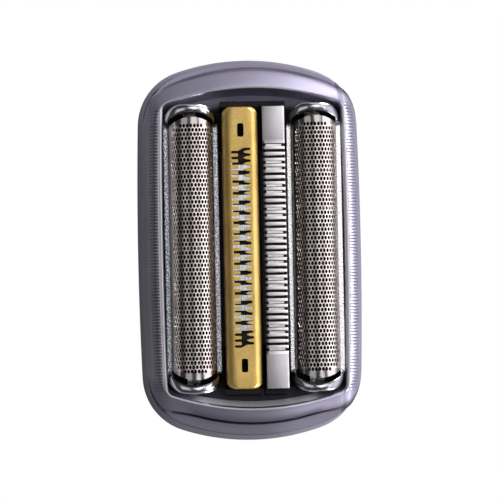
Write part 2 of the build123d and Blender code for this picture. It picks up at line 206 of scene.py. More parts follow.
paint = Sizes(
    dark=(0.275, 0.26, 0.335, 1), light=(0.35, 0.33, 0.415, 1),
    # The lighter of these two tones is a painted highlight on the rim's edge; the darker paints shade
    # between the ribs, in the crease and at the near end, and the grey line by the mouth
    rubbed=(0.9, 0.89, 0.94, 1), grime=(0.12, 0.115, 0.145, 1),
    wall=(0.4, 0.4, 0.48, 1), litWall=(0.97, 0.95, 1.0, 1),
    flake=9000, flakeShare=0.3, flakeDepth=0.004, cloud=90,
    metallic=0.82, litDull=0.7, varnish=(0.12, 0.3), rim=(13.4, 13.58), wallBelow=(13.3, 13.2),
    mouth=(14.15, 24.85, 1.3, 40.0), mouthEdge=(13.55, 14.15),
    creaseY=(0.44, 27.35, 32.0), creaseX=(11.5, 9.0),
    creaseLine=(0.3, 0.09), creaseSoft=(1.2, 0.0), creaseFoot=(-0.1, 0.0),
    nearEnd=(-19.0, -21.0), handled=(8.0, 0.5), litX=(10.8, 8.0),
    wornLine=(14.62, 14.5), wornFrom=(13.6, 13.9),
    # How much of each shows, the second number by near end or by cloud
    edgeShare=(0.15, 0.4), mouthShare=(0.45, 0.5), grooveShare=(0.55, 0.3), creaseShare=(0.75, 0.15),
    wornShare=0.75, handledShare=0.5,
)


def grooveShade(x, y):  # painted shade between the ribs
    wave = 0.5 - 0.5 * (y * (2 * pi / (ribs.pitch * mm))).call("COSINE")
    across = abs(x) + y * y / (2 * shell.sideRadius * mm)
    zone = across.between(ribs.grimeFrom) * across.between(ribs.grimeTo)
    return wave * zone * abs(y).between(ribs.grimeEnds)


def creaseShade(x, y, near):  # painted shade in the crease between ledge and dome, which spreads up the near dome
    middle, reach, radius = (size * mm for size in paint.creaseY)
    inward = reach - abs(y - middle) - x * x / (2 * radius)
    line = abs(inward).between(paint.creaseLine)
    soft = inward.between(paint.creaseSoft) * inward.between(paint.creaseFoot) * near
    return line.atLeast(soft) * abs(x).between(paint.creaseX)


def satinPaintLook():
    graph = startLook("satinPaint")
    flakes = graph.noise(paint.flake, 1.0)
    cloud = graph.noise(paint.cloud, 3.0)
    x, y, z = graph.place()
    near = y.between(paint.nearEnd)
    grime, flakeShare = paint.grime, paint.flakeShare
    mottle = (cloud * (1 - flakeShare) + flakes * flakeShare).fade(0.25, 0.75)
    coat = graph.mix(mottle, paint.dark, paint.light)
    # The rim's edge is painted brighter, a painted highlight, most of all beside the mouth
    rim = z.between(paint.rim)
    edge = rim * near.ramp(*paint.edgeShare)
    mouthSheen = rim * abs(x).between(paint.mouthEdge) * cloud.ramp(*paint.mouthShare)
    coat = graph.mix(edge + mouthSheen, coat, paint.rubbed)
    # Painted shade between the ribs
    coat = graph.mix(grooveShade(x, y) * cloud.ramp(*paint.grooveShare), coat, grime)
    # A grey line follows the right edge of the mouth
    across = x + y * y / (2 * shell.mouthSideRadius * mm)
    line = across.between(paint.wornLine) * across.between(paint.wornFrom)
    coat = graph.mix(line * paint.wornShare, coat, grime)
    # The near end is painted darker, a painted shade
    coat = graph.mix(near * x.between(paint.handled) * paint.handledShare, coat, grime)
    # Painted shade in the crease and up the near dome
    coat = graph.mix(creaseShade(x, y, near) * near.ramp(*paint.creaseShare), coat, grime)
    # The mouth's wall below the rim is smoother, and is painted near white at the near end, a painted pool
    # of light
    halfX, halfY, corner, endRadius = (size * mm for size in paint.mouth)
    pastX = (abs(x) - (halfX - corner)).atLeast(0.0)
    pastY = (abs(y) + x * x / (2 * endRadius) - (halfY - corner)).atLeast(0.0)
    inside = (pastX * pastX + pastY * pastY).call("LESS_THAN", corner * corner)
    wall = inside * z.between(paint.wallBelow)
    lit = near * abs(x).between(paint.litX)
    wallCoat = graph.mix(lit, paint.wall, paint.litWall)
    colour = graph.mix(wall, coat, wallCoat)
    rough = 0.38 + flakes * 0.12 - rim * 0.12 - wall * 0.06
    metallic = paint.metallic - wall * lit * paint.litDull
    return endLook(graph, colour, rough, flakes, paint.flakeDepth, metallic, coat=paint.varnish)


mouldedDark = Sizes(
    low=(0.14, 0.136, 0.19, 1), high=(0.19, 0.185, 0.25, 1),
    deep=(0.008, 0.008, 0.01, 1),  # painted shade: black between the cutters and at the near end
    deepY=(22.2, 21.4), nearY=(-20.0, -21.0), nearShare=0.8, grain=4500, cloud=160,
)


def mouldedDarkLook(tones):
    graph = startLook("mouldedDark")
    grain = graph.noise(tones.grain)
    cloud = graph.noise(tones.cloud)
    bluish = graph.mix(cloud.fade(0.3, 0.7), tones.low, tones.high)
    y = graph.place()[1]
    # Painted shade: black between the cutters and towards the near end
    deep = abs(y).between(tones.deepY)
    deep = deep.atLeast(y.between(tones.nearY) * tones.nearShare)
    colour = graph.mix(deep, bluish, tones.deep)
    return endLook(graph, colour, 0.42 + grain * 0.2, grain, 0.01, specular=0.2)


platedRing = Sizes(
    bright=(0.62, 0.615, 0.65, 1), dimmed=(0.25, 0.245, 0.28, 1), dimX=(10.6, 11.6),
    grain=(1.0, 1.0, 1.0, 1), pits=(0.85, 0.85, 0.87, 1),
    dull=(0.2, 0.21, 0.24, 1), dullGrain=(0.62, 0.64, 0.71, 1), dullX=(-2.0, -4.0),
    railY=(19.8, 19.2), railZ=(13.5, 13.3), sparkle=4200, cloud=350,
)


def platedRingLook(tones):
    graph = startLook("platedRing")
    x, y, z = graph.place()
    rail = abs(y).between(tones.railY) * z.between(tones.railZ)
    sparkle = graph.noise(tones.sparkle, 1.0)
    cloud = graph.noise(tones.cloud, 3.0)
    blasted = graph.mix(sparkle.fade(0.38, 0.58), tones.pits, tones.grain)
    # The left ring's rails are painted darker, a painted shade, and the right ring's outer shoulder is
    # painted darker too, a painted shade
    shadedRails = graph.mix(sparkle.fade(0.42, 0.6), tones.dull, tones.dullGrain)
    blasted = graph.mix(x.between(tones.dullX), blasted, shadedRails)
    plated = graph.mix(x.between(tones.dimX), tones.bright, tones.dimmed)
    colour = graph.mix(rail, plated, blasted)
    rough = 0.17 + rail * 0.06 + cloud * 0.08
    return endLook(graph, colour, rough, sparkle * rail, 0.03, metallic=1.0)


foilNickel = Sizes(
    warm=(0.65, 0.57, 0.525, 1), cool=(0.77, 0.7, 0.66, 1),
    ends=(0.42, 0.39, 0.39, 1), endsY=(18.7, 18.9),
    drawn=900, drawnOut=(6.0, 0.4, 6.0), cloud=420,
)


def foilNickelLook(tones):
    graph = startLook("foilNickel")
    cloud = graph.noise(tones.cloud, 3.0)
    drawn = graph.noise(tones.drawn, 2.0, tones.drawnOut)
    nickel = graph.mix(cloud.fade(0.3, 0.7), tones.warm, tones.cool)
    # The plain ends past the holes are smoother, and painted darker, a painted reflection of the dark
    solid = abs(graph.place()[1]).between(tones.endsY)
    colour = graph.mix(solid, nickel, tones.ends)
    rough = 0.22 + drawn * 0.16 - solid * 0.12
    return endLook(graph, colour, rough, drawn * 0.13 + cloud, 0.03, metallic=1.0)


gilt = Sizes(deep=(0.54, 0.345, 0.088, 1), pale=(0.75, 0.54, 0.185, 1), grain=5200, cloud=220)


def giltLook(tones):
    graph = startLook("gilt")
    grain = graph.noise(tones.grain)
    cloud = graph.noise(tones.cloud, 3.0)
    colour = graph.mix((cloud * 0.5 + grain * 0.5).fade(0.3, 0.72), tones.deep, tones.pale)
    return endLook(graph, colour, 0.36 + grain * 0.18, grain, 0.012, metallic=0.85)


groundSteel = Sizes(
    dark=(0.46, 0.435, 0.445, 1), pale=(0.72, 0.69, 0.7, 1),
    rubbed=(0.98, 0.94, 0.95, 1), rubbedShare=0.7,
    oiled=(0.02, 0.019, 0.018, 1), oilDepth=(0.16, 0.3),
    slotZone=(16.6, 16.3), flank=(-1.3, -1.5), flankShare=0.85,
    grinding=1500, groundOut=(0.35, 5.0, 5.0),
    scratches=420, scratchOut=(1.0, 7.0, 1.0),
)


def groundSteelLook(tones):
    graph = startLook("groundSteel")
    grinding = graph.noise(tones.grinding, 3.0, tones.groundOut)
    scratches = graph.noise(tones.scratches, 4.0, tones.scratchOut)
    worked = grinding * 0.75 - scratches.fade(0.66, 0.72) * 0.35 + 0.15
    steel = graph.mix(worked, tones.dark, tones.pale)
    # The bars between the slots are painted lighter, a painted sheen, and the left flank and what lies in
    # the slots are painted black, a painted shade
    top, middleX = measure("direct_comb")[3:]
    x, y, z = graph.place()
    slotted = abs(y).between(tones.slotZone)
    steel = graph.mix(slotted * tones.rubbedShare, steel, tones.rubbed)
    flank = x.between([middleX + place for place in tones.flank])
    oiled = z.between([top - depth for depth in tones.oilDepth])
    oiled = oiled.atLeast(flank * slotted * tones.flankShare)
    colour = graph.mix(oiled, steel, tones.oiled)
    metallic = 0.95 - oiled * 0.95
    return endLook(graph, colour, 0.38 + grinding * 0.2, grinding, 0.006, metallic, 0.2)


polishedSteel = Sizes(
    dark=(0.3, 0.3, 0.3, 1), pale=(0.56, 0.56, 0.55, 1),
    linesOut=(5.0, 0.5, 5.0), rough=(0.12, 0.16), oilFade=0.1,
)
ladderSteel = Sizes(
    dark=(0.42, 0.4, 0.4, 1), pale=(0.66, 0.62, 0.62, 1),
    linesOut=(0.5, 5.0, 5.0), rough=(0.16, 0.16), pitch=1.2, bar=(0.26, 0.29),
)
paintedShadeTone = (0.012, 0.011, 0.01, 1)


def steelWithShadeLook(name, steel, shadeAt):  # polished lines, and painted black where the mask says so, a painted shade
    graph = startLook(name)
    lines = graph.noise(1800, 2.0, steel.linesOut)
    bright = graph.mix(lines.fade(0.3, 0.7), steel.dark, steel.pale)
    oiled = shadeAt(graph.place()[1])
    colour = graph.mix(oiled, bright, paintedShadeTone)
    return endLook(graph, colour, lines.ramp(*steel.rough), lines, 0.004, 1 - oiled, 0.1)


def polishedSteelLook(brightTo=100.0):  # painted black past brightTo along Y, a painted shade
    ends = (brightTo, brightTo + polishedSteel.oilFade)
    return steelWithShadeLook("polishedSteel", polishedSteel, lambda y: abs(y).between(ends))


def besideBars(y):  # the blade under the steel comb is painted black but for its bars, a painted shade for the gaps between them
    pitch = ladderSteel.pitch
    fromBar = abs((y / (pitch * mm) + 0.5).call("FRACT") - 0.5) * pitch
    return fromBar.fade(*ladderSteel.bar)


blackPlastic = Sizes(
    low=(0.004, 0.004, 0.005, 1), high=(0.014, 0.013, 0.015, 1), fade=(0.3, 0.7),
    grain=3800, drawnOut=(1.0, 1.0, 1.0), depth=0.012,
    metallic=0.0, specular=0.15, rough=(0.4, 0.25),
)
paintedShadeSteel = Sizes(  # painted dark, a painted shade for parts that lie in shade
    low=(0.014, 0.014, 0.015, 1), high=(0.45, 0.44, 0.43, 1), fade=(0.5, 0.75),
    grain=1500, drawnOut=(5.0, 0.5, 5.0), depth=0.004,
    metallic=0.9, specular=0.5, rough=(0.3, 0.2),
)


def twoToneLook(name, tones):
    graph = startLook(name)
    grain = graph.noise(tones.grain, 2.0, tones.drawnOut)
    colour = graph.mix(grain.fade(*tones.fade), tones.low, tones.high)
    rough = grain.ramp(*tones.rough)
    return endLook(graph, colour, rough, grain, tones.depth, tones.metallic, tones.specular)


looks = {
    "silver_shell": satinPaintLook(),
    "dark_chassis": mouldedDarkLook(mouldedDark),
    "plated_ring": platedRingLook(platedRing),
    "foil_nickel": foilNickelLook(foilNickel),
    "gilt_comb": giltLook(gilt),
    "steel_comb": groundSteelLook(groundSteel),
    "black_plastic": twoToneLook("blackPlastic", blackPlastic),
    "spring_steel": polishedSteelLook(),
}
# Steel painted dark, a painted shade, for the cutter blades and the foil tabs
shadedBlade = twoToneLook("paintedShadeSteel", paintedShadeSteel)
ownLooks = {
    "direct_blade": steelWithShadeLook("ladderSteel", ladderSteel, besideBars),
    "cutter_blades_left": shadedBlade,
    "cutter_blades_right": shadedBlade,
    # The lift blade is painted black past 13 mm along Y, a painted shade under the comb's ends
    "lift_blade": polishedSteelLook(13.0),
}
for part in frame["record"]["subparts"]:
    mesh = nodes[part["node"]].data
    mesh.materials.clear()
    mesh.materials.append(ownLooks.get(part["node"]) or looks[part["material_slot"]])
print("finishes made:", len(looks))


def linked(name, data):
    made = bpy.data.objects.new(name, data)
    bpy.context.scene.collection.objects.link(made)
    return made


def meshObject(name, mesh, sharpDegrees, body, slot, *stoodFor):
    mesh.shade_smooth()
    mesh.set_sharp_from_angle(angle=radians(sharpDegrees))
    piece = linked(name, mesh)
    if not mesh.materials:
        mesh.materials.append(looks[slot])
    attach(piece, body)
    if stoodFor:
        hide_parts(*stoodFor)
    return piece


def points(build, spots):
    return [build.verts.new((x * mm, y * mm, z * mm)) for x, y, z in spots]


def skin(build, rows, closed=True):  # faces from row to row
    count = len(rows[0])
    for lower, upper in zip(rows, rows[1:]):
        for n in range(count if closed else count - 1):
            m = (n + 1) % count
            build.faces.new((lower[n], lower[m], upper[m], upper[n]))


def turnOut(build):
    bmesh.ops.recalc_face_normals(build, faces=build.faces)


def closeMesh(build, name, outward=False):
    if outward:
        turnOut(build)
    mesh = bpy.data.meshes.new(name)
    build.to_mesh(mesh)
    build.free()
    return mesh


def settled(carrier, name):  # the mesh that the carrier's modifiers leave
    depsgraph = bpy.context.evaluated_depsgraph_get()
    mesh = bpy.data.meshes.new_from_object(carrier.evaluated_get(depsgraph))
    mesh.name = name
    bpy.data.objects.remove(carrier)
    return mesh


def thicken(mesh, name, thickness):
    carrier = linked(name + "Carrier", mesh)
    solidify = carrier.modifiers.new("sheet", "SOLIDIFY")
    solidify.thickness = thickness * mm
    return settled(carrier, name)


socketKinds = {int: "NodeSocketInt", float: "NodeSocketFloat", tuple: "NodeSocketVector"}


def startTree(name, values):  # one input for each value, of its kind
    tree = bpy.data.node_groups.new(name, "GeometryNodeTree")
    graph = Graph(tree)
    for label, value in values.items():
        kind = socketKinds.get(type(value), "NodeSocketObject")
        socket = tree.interface.new_socket(label, in_out="INPUT", socket_type=kind)
        graph.sockets[label] = socket.identifier
    tree.interface.new_socket("Geometry", in_out="OUTPUT", socket_type="NodeSocketGeometry")
    entry = tree.nodes.new("NodeGroupInput")
    return graph, Sizes({label: Wire(graph, entry.outputs[label]) for label in values})


def endTree(graph, geometry, slot):
    realized = graph.node("GeometryNodeRealizeInstances", {0: geometry})
    coated = graph.node("GeometryNodeSetMaterial", {"Geometry": realized, "Material": looks[slot]})
    graph.node("NodeGroupOutput", {0: coated})
    return graph


def runTree(graph, values, name):
    carrier = linked(name + "Carrier", bpy.data.meshes.new(name))
    modifier = carrier.modifiers.new(name, "NODES")
    modifier.node_group = graph.tree
    for label, value in values.items():
        modifier[graph.sockets[label]] = value
    return settled(carrier, name)


halfWidth, halfLength = measure("outer_frame")[:2]


def mirrored(quarter):  # a quarter of an outline, made into a closed loop
    half = quarter + [(-x, y) for x, y in reversed(quarter[:-1])]
    return half + [(-x, -y) for x, y in half[1:-1]]


def outlineLoop(width, length, sideRadius, endRadius, corner):
    # Side arc, corner arc and end arc, each tangent to the next
    sideX, endY = width - sideRadius, length - endRadius
    toSide, toEnd = sideRadius - corner, endRadius - corner
    span = hypot(sideX, endY)
    along = (toSide**2 - toEnd**2 + span**2) / (2 * span)
    off = sqrt(toSide**2 - along**2)
    ux, uy = -sideX / span, endY / span
    cornerX = sideX + ux * along - uy * off
    cornerY = uy * along + ux * off
    sideTurn = atan2(cornerY, cornerX - sideX)
    endTurn = atan2(cornerY - endY, cornerX)
    arcs = [
        (sideX, 0.0, sideRadius, 0.0, sideTurn),
        (cornerX, cornerY, corner, sideTurn, endTurn),
        (0.0, endY, endRadius, endTurn, pi / 2),
    ]
    quarter = []
    for (x, y, radius, start, stop), steps in zip(arcs, shell.arcSteps):
        for step in range(steps):
            turn = start + (stop - start) * step / steps
            quarter.append((x + radius * cos(turn), y + radius * sin(turn)))
    return mirrored(quarter + [(0.0, length)])


def shellLoop(sideIn, endIn, cornerIn=None, shift=0.0, share=0.0):
    # The share says how far the arcs have turned into those of the mouth.
    corner = shell.cornerRadius - (min(sideIn, endIn) if cornerIn is None else cornerIn)
    sideRadius = shell.sideRadius - sideIn
    sideRadius += (shell.mouthSideRadius - sideRadius) * share
    endRadius = shell.endRadius - endIn
    endRadius += (shell.mouthEndRadius - endRadius) * share
    loop = outlineLoop(halfWidth - sideIn, halfLength - endIn, sideRadius, endRadius, corner)
    return [(x, y + shift) for x, y in loop]


def mouthLoop(length, grow=0.0):  # grows less at the ends, where the rim's edge is crisper
    growEnd = grow * shell.endCrisp
    width, corner = shell.mouthHalfWidth + grow, shell.mouthCorner + growEnd
    endRadius = shell.mouthEndRadius + growEnd
    return outlineLoop(width, length + growEnd, shell.mouthSideRadius, endRadius, corner)


def domeInset(turn):  # a quarter ellipse at the sides, a low wall and a chamfer at the ends
    share = 1 - cos(turn)
    rise = (sin(turn) - shell.endWall) / (1 - shell.endWall)
    chamfer = min((rise + sqrt(rise**2 + shell.endSoft)) / 2, 1.0)
    side = shell.skirtSide + (shell.rimSide - shell.skirtSide) * share
    end = shell.bandEnd + (shell.rimEnd - shell.bandEnd) * chamfer
    return side, end


def domeHeight(turn):
    return shell.skirtTop + (shell.rimTop - shell.skirtTop) * sin(turn)


def makeShell():
    side, end, top, edge = shell.skirtSide, shell.skirtEnd, shell.skirtTop, shell.edge
    rimTop, ceiling, wall, shift = shell.rimTop, shell.ceiling, shell.wall, shell.bandShift
    cut = shell.edgeCut * edge
    skirt = [(edge, edge, 0.0), (cut, cut, cut), (0.0, 0.0, edge)]
    skirt += [(side * share, end * share, top * share) for share in (0.25, 0.5, 0.75)]
    skirt += [(side, end, top - edge), (side, end + cut, top - cut)]
    skirt += [(side, end + edge, top), (side, end + 2 * edge, top)]
    rows = [(shellLoop(sideIn, endIn), z) for sideIn, endIn, z in skirt]
    rows += [(shellLoop(side, shell.bandEnd - edges * edge, None, shift), top) for edges in (4, 3, 1)]
    crease = len(rows) - 1
    for turn in quarterTurns(shell.domeSteps):
        share = 1 - cos(turn)
        tighter = max((shell.cornerRadius - shell.rimCorner) * share, side)
        rows.append((shellLoop(*domeInset(turn), tighter, shift * (1 - share), share), domeHeight(turn)))
    # The ledge and its crease die out round the corners
    outer, inner = rows[crease - 4][0], rows[crease][0]
    for index in range(crease - 2, len(rows)):
        loop, z = rows[index]
        reach = shell.ledgePull * cos(pi / 2 * max(index - crease - 1, 0) / shell.domeSteps)
        blended = []
        for (x, y), (ox, oy), (ix, iy) in zip(loop, outer, inner):
            pull = reach * (1 - ease(abs(iy), *shell.ledgeEnds))
            blended.append((x + (ox - ix) * pull, y + (oy - iy) * pull))
        rows[index] = (blended, z)
    ledges = [dist(a, b) for a, b in zip(outer, rows[crease][0])]
    # The rounded rim, the mouth's leaning wall and the hollow inside
    lean = (shell.mouthHalfTop - shell.mouthHalfLow) / (rimTop - ceiling)
    for turn in quarterTurns(shell.rimSteps):
        depth = shell.rimRound * (1 - cos(turn))
        grow = shell.rimRound * (1 - sin(turn))
        rows.append((mouthLoop(shell.mouthHalfTop - lean * depth, grow), rimTop - depth))
    rows.append((mouthLoop(shell.mouthHalfLow), ceiling))
    sideIn, endIn = domeInset(asin((ceiling - top) / (rimTop - top)))
    high = shellLoop(sideIn + wall, endIn + wall)
    low = shellLoop(side + wall, end + wall)
    rows += [(high, ceiling), (high, shell.innerStep), (low, shell.innerStep), (low, 0.0)]
    build = bmesh.new()
    rings = [points(build, [(x, y, z) for x, y in loop]) for loop, z in rows]
    for vert, ledge in zip(rings[crease], ledges):
        vert.co.z -= shell.crease * (ledge / max(ledges)) ** 2 * mm
    skin(build, rings + rings[:1])
    bmesh.ops.remove_doubles(build, verts=build.verts, dist=shell.weld * mm)
    meshObject("shell", closeMesh(build, "shell", True), 38, "frame", "silver_shell", "outer_frame")


makeShell()
print("shell made")


def ribTree(values):
    graph, wires = startTree("gripRibs", values)
    index = graph.node("GeometryNodeInputIndex")
    last = wires.Count - 1
    along = (index - last * 0.5) * wires.Pitch
    sag = along * along / (wires.Bulge * 2.0)
    bend = {label: wires[label] for label in ("Start", "Middle", "End")}
    bend["Resolution"] = ribs.bends
    path = graph.node("GeometryNodeCurveQuadraticBezier", bend)
    circle = {"Resolution": ribs.sides, "Radius": wires.Thickness}
    section = graph.node("GeometryNodeCurvePrimitiveCircle", circle)
    rib = graph.node("GeometryNodeCurveToMesh", {0: path, 1: section, "Fill Caps": True})
    sign = graph.split(wires.Start)[0].call("SIGN")
    spots = graph.pointsAt(wires.Count, sign * sag * -1.0, along)
    fromEnd = index.atMost(last - index)
    grown = (fromEnd / wires.Taper).atMost(1.0)
    size = grown.ramp(ribs.endSize, 1 - ribs.endSize)
    sized = {"Instances": graph.copies(spots, rib), "Scale": size, "Center": wires.End}
    return endTree(graph, graph.node("GeometryNodeScaleInstances", sized), "silver_shell")


def makeRibs():
    turns = [radians(degrees) for degrees in ribs.turns]
    (x0, z0), (xm, zm), (x1, z1) = [(halfWidth - domeInset(turn)[0], domeHeight(turn)) for turn in turns]
    middle = (2 * xm - (x0 + x1) / 2, 2 * zm - (z0 + z1) / 2)
    corners = {"Start": (x0, z0), "Middle": middle, "End": (x1, z1)}
    values = {
        "Count": ribs.count,
        "Pitch": ribs.pitch * mm,
        "Bulge": shell.sideRadius * mm,
        "Thickness": ribs.thick * mm,
        "Taper": ribs.taper,
        **dict.fromkeys(corners, (0, 0, 0)),
    }
    tree = ribTree(values)
    for side, sign in (("Left", -1), ("Right", 1)):
        for label, (x, z) in corners.items():
            values[label] = (sign * x * mm, 0, z * mm)
        name = "gripRibs" + side
        meshObject(name, runTree(tree, values, name), 60, "frame", "silver_shell")


makeRibs()
print("grip ribs made")


# Foils: a field of six-sided cells, holed or plain, trimmed to the foil's plan and bent over its arch.
foil = Sizes(
    columnPitch=0.55, rowPitch=0.65, radius=3.4, axis=14.2, bottom=11.6, half=20.2, endRadius=5.0,
    holedRows=59, holedDegrees=66.0, lastRows=(0.36, 0.3),
    holeWide=0.47, holeLong=0.62, sheet=0.09, cellWeld=0.02, sheetWeld=0.012,
)


def cellMesh(name, holed):
    # One cell round the origin: twelve border points, and a round hole or a flat fill.
    half, low, high = foil.columnPitch / 2, foil.rowPitch / 3, foil.rowPitch * 2 / 3
    corners = [(half, -low), (half, low), (0, high), (-half, low), (-half, -low), (0, -high)]
    border = []
    for (x, y), (nx, ny) in zip(corners, corners[1:] + corners[:1]):
        border += [(x, y, 0), ((x + nx) / 2, (y + ny) / 2, 0)]
    build = bmesh.new()
    outer = points(build, border)
    if holed:
        turns = [atan2(y, x) for x, y, _ in border]
        wide, long = foil.holeWide / 2, foil.holeLong / 2
        skin(build, [outer, points(build, [(wide * cos(turn), long * sin(turn), 0) for turn in turns])])
    else:
        build.faces.new(outer)
    return linked(name, closeMesh(build, name))


def foilTree(values):
    graph, wires = startTree("perforatedFoil", values)
    columns, radius, endRadius = wires.columns, wires.radius, wires.endRadius
    index = graph.node("GeometryNodeInputIndex")
    row = (index / columns).call("FLOOR")
    column = index - row * columns
    fromMiddle = row - (wires.rows - 1) * 0.5
    stagger = row.call("MODULO", 2.0) * 0.5
    across = (column - (columns - 1) * 0.5 + stagger - 0.25) * wires.columnPitch
    spots = graph.pointsAt(columns * wires.rows, across, fromMiddle * wires.rowPitch)
    # Fewer holes in the outermost rows
    fromLast = wires.holedRows * 0.5 - abs(fromMiddle)
    reach = wires.holedAngle * fromLast.ramp(*foil.lastRows).atMost(1.0)
    holed = (abs(across) / radius).call("LESS_THAN", reach) * fromLast.call("GREATER_THAN", 0.0)
    cells = [graph.shapeOf(wires[label]) for label in ("holedCell", "plainCell")]
    choice = graph.join(graph.node("GeometryNodeGeometryToInstance", {0: cell}) for cell in cells)
    field = graph.copies(spots, choice, **{"Pick Instance": True, "Instance Index": holed})
    field = graph.weld(graph.node("GeometryNodeRealizeInstances", {0: field}), foil.cellWeld)
    # Bend over the arch, straight down the flanks, and trim the ends to the rounded plan
    x, y = graph.split(graph.node("GeometryNodeInputPosition"))[:2]
    flank = wires.axis - wires.bottom
    quarter = radius * (pi / 2)
    arc = x.atLeast(-1.0 * quarter).atMost(quarter)
    drop = (abs(x) - quarter).atLeast(0.0).atMost(flank)
    turn = arc / radius
    bentX = radius * turn.call("SINE")
    bentZ = wires.axis + radius * turn.call("COSINE") - drop
    limit = wires.half - endRadius + (endRadius * endRadius - bentX * bentX).call("SQRT")
    bentY = y.atLeast(-1.0 * limit).atMost(limit)
    bent = graph.node("ShaderNodeCombineXYZ", {0: bentX + wires.middleX, 1: bentY, 2: bentZ})
    sheet = graph.node("GeometryNodeSetPosition", {"Geometry": field, "Position": bent})
    return endTree(graph, graph.weld(sheet, foil.sheetWeld), "foil_nickel")


def makeFoils():
    width = pi * foil.radius + 2 * (foil.axis - foil.bottom)
    rows = int(2 * foil.half / foil.rowPitch) + 4
    values = {
        "holedCell": cellMesh("holedCell", True),
        "plainCell": cellMesh("plainCell", False),
        "columns": int(width / foil.columnPitch) + 3,
        "rows": rows + (rows + foil.holedRows) % 2,
        "holedRows": foil.holedRows,
        "holedAngle": radians(foil.holedDegrees),
        "middleX": 0.0,
    }
    for label in ("columnPitch", "rowPitch", "radius", "axis", "bottom", "half", "endRadius"):
        values[label] = foil[label] * mm
    tree = foilTree(values)
    for side in ("left", "right"):
        values["middleX"] = measure("foil_" + side)[4] * mm
        name = "foilSheet" + side.capitalize()
        mesh = thicken(runTree(tree, values, name), name, foil.sheet)
        meshObject(name, mesh, 35, side + "_foil", "foil_nickel", "foil_" + side)
    for label in ("holedCell", "plainCell"):
        bpy.data.objects.remove(values[label])


makeFoils()
print("foils made")


# Plated rings: rails beside the foil and an arched, rounded cap at each end, swept as one closed band.
foilRing = Sizes(
    outerCorner=2.8, grow=0.15, innerHalfWidth=3.45, innerHalfLength=21.0, innerCorner=0.5,
    innerEndRadius=5.8, innerBend=(14.0, 20.0),
    railTop=12.9, capTop=15.7, capFrom=(19.0, 20.1), base=9.0, innerBase=11.5,
    round=(0.07, 0.5),  # of rail and cap
    crisp=(12.0, 3.0),
    shares=(0.0, 0.03, 0.1, 0.22, 0.38, 0.5, 0.62, 0.78, 0.9, 0.97, 1.0),
    steps=(24, 14, 3), crowding=1.6,
    catchHalf=1.2, catchReach=0.5, catchRoot=0.3, catchHeight=0.8,
)


def roundedLoop(width, length, corner):
    sideSteps, cornerSteps, endSteps = foilRing.steps
    quarter = []
    for step in range(sideSteps):  # closer together towards the cap
        share = 1 - (1 - step / sideSteps) ** foilRing.crowding
        quarter.append((width, (length - corner) * share))
    quarter += cornerArc(width, length, corner, cornerSteps)[:-1]
    for step in range(endSteps + 1):
        quarter.append(((width - corner) * (1 - step / endSteps), length))
    return mirrored(quarter)


def makeRing(side):
    halfWide, halfLong, _, _, middleX = measure("foil_frame_" + side)
    halfWide += foilRing.grow
    halfLong -= foilRing.catchReach
    base, railTop, capTop = foilRing.base, foilRing.railTop, foilRing.capTop
    outer = roundedLoop(halfWide, halfLong, foilRing.outerCorner)
    endRadius = foilRing.innerEndRadius
    inner = []
    for x, y in roundedLoop(foilRing.innerHalfWidth, foilRing.innerHalfLength, foilRing.innerCorner):
        bulge = endRadius - sqrt(endRadius**2 - x**2)
        inner.append((x, y - copysign(bulge, y) * ease(abs(y), *foilRing.innerBend)))
    rise = capTop - railTop
    archRadius = (halfWide**2 + rise**2) / (2 * rise)
    rows = [[(x, y, base) for x, y in outer]]
    for share in foilRing.shares:
        row = []
        for (ox, oy), (ix, iy) in zip(outer, inner):
            x, y = ox + (ix - ox) * share, oy + (iy - oy) * share
            cap = ease(abs(oy), *foilRing.capFrom)
            arch = capTop - archRadius + sqrt(archRadius**2 - x**2)
            top = railTop + (max(arch, railTop) - railTop) * cap
            fall, crisp = (a + (b - a) * cap for a, b in (foilRing.round, foilRing.crisp))
            row.append((x, y, top - fall * (1 - (1 - abs(2 * share - 1) ** crisp) ** 0.5)))
        rows.append(row)
    rows += [[(x, y, z) for x, y in inner] for z in (foilRing.innerBase, base)]
    build = bmesh.new()
    rings = [points(build, [(x + middleX, y, z) for x, y, z in row]) for row in rows]
    skin(build, rings + rings[:1])
    height = foilRing.catchHeight
    reach = foilRing.catchReach + foilRing.catchRoot
    size = Matrix.Diagonal((2 * foilRing.catchHalf * mm, reach * mm, height * mm, 1))
    for sign in (-1, 1):  # catches, in the chassis
        y = sign * (halfLong + foilRing.catchReach - reach / 2)
        spot = Vector((middleX, y, base + height / 2)) * mm
        bmesh.ops.create_cube(build, size=1.0, matrix=Matrix.Translation(spot) @ size)
    name = "foilRing" + side.capitalize()
    meshObject(name, closeMesh(build, name, True), 42, side + "_foil", "plated_ring", "foil_frame_" + side)


makeRing("left")
makeRing("right")
print("plated rings made")


# Tabs that hold each foil's ends under the caps
foilTab = Sizes(
    halfWidth=0.7,
    bend=[(19.8, 17.42), (20.2, 17.2), (20.5, 16.4), (20.65, 15.6), (20.8, 15.2), (21.1, 15.1)],
    sheet=0.15, steps=4,
)


def makeTabs(side):
    middleX = measure("foil_" + side)[4]
    build = bmesh.new()
    for sign in (-1, 1):
        rows = []
        for y, z in foilTab.bend:
            row = []
            for step in range(foilTab.steps + 1):
                x = foilTab.halfWidth * (2 * step / foilTab.steps - 1)
                fall = foil.radius - sqrt(foil.radius**2 - x**2)
                row.append((middleX + x, sign * y, z - fall))
            rows.append(points(build, row))
        skin(build, rows, False)
    for face in build.faces:
        face.normal_update()
        if face.normal.z < 0:
            face.normal_flip()
    name = "foilTabs" + side.capitalize()
    mesh = thicken(closeMesh(build, "tabs"), name, foilTab.sheet)
    # The tabs take the steel painted dark, a painted shade
    mesh.materials.append(shadedBlade)
    meshObject(name, mesh, 40, side + "_foil", "foil_nickel")


makeTabs("left")
makeTabs("right")
print("foil tabs made")


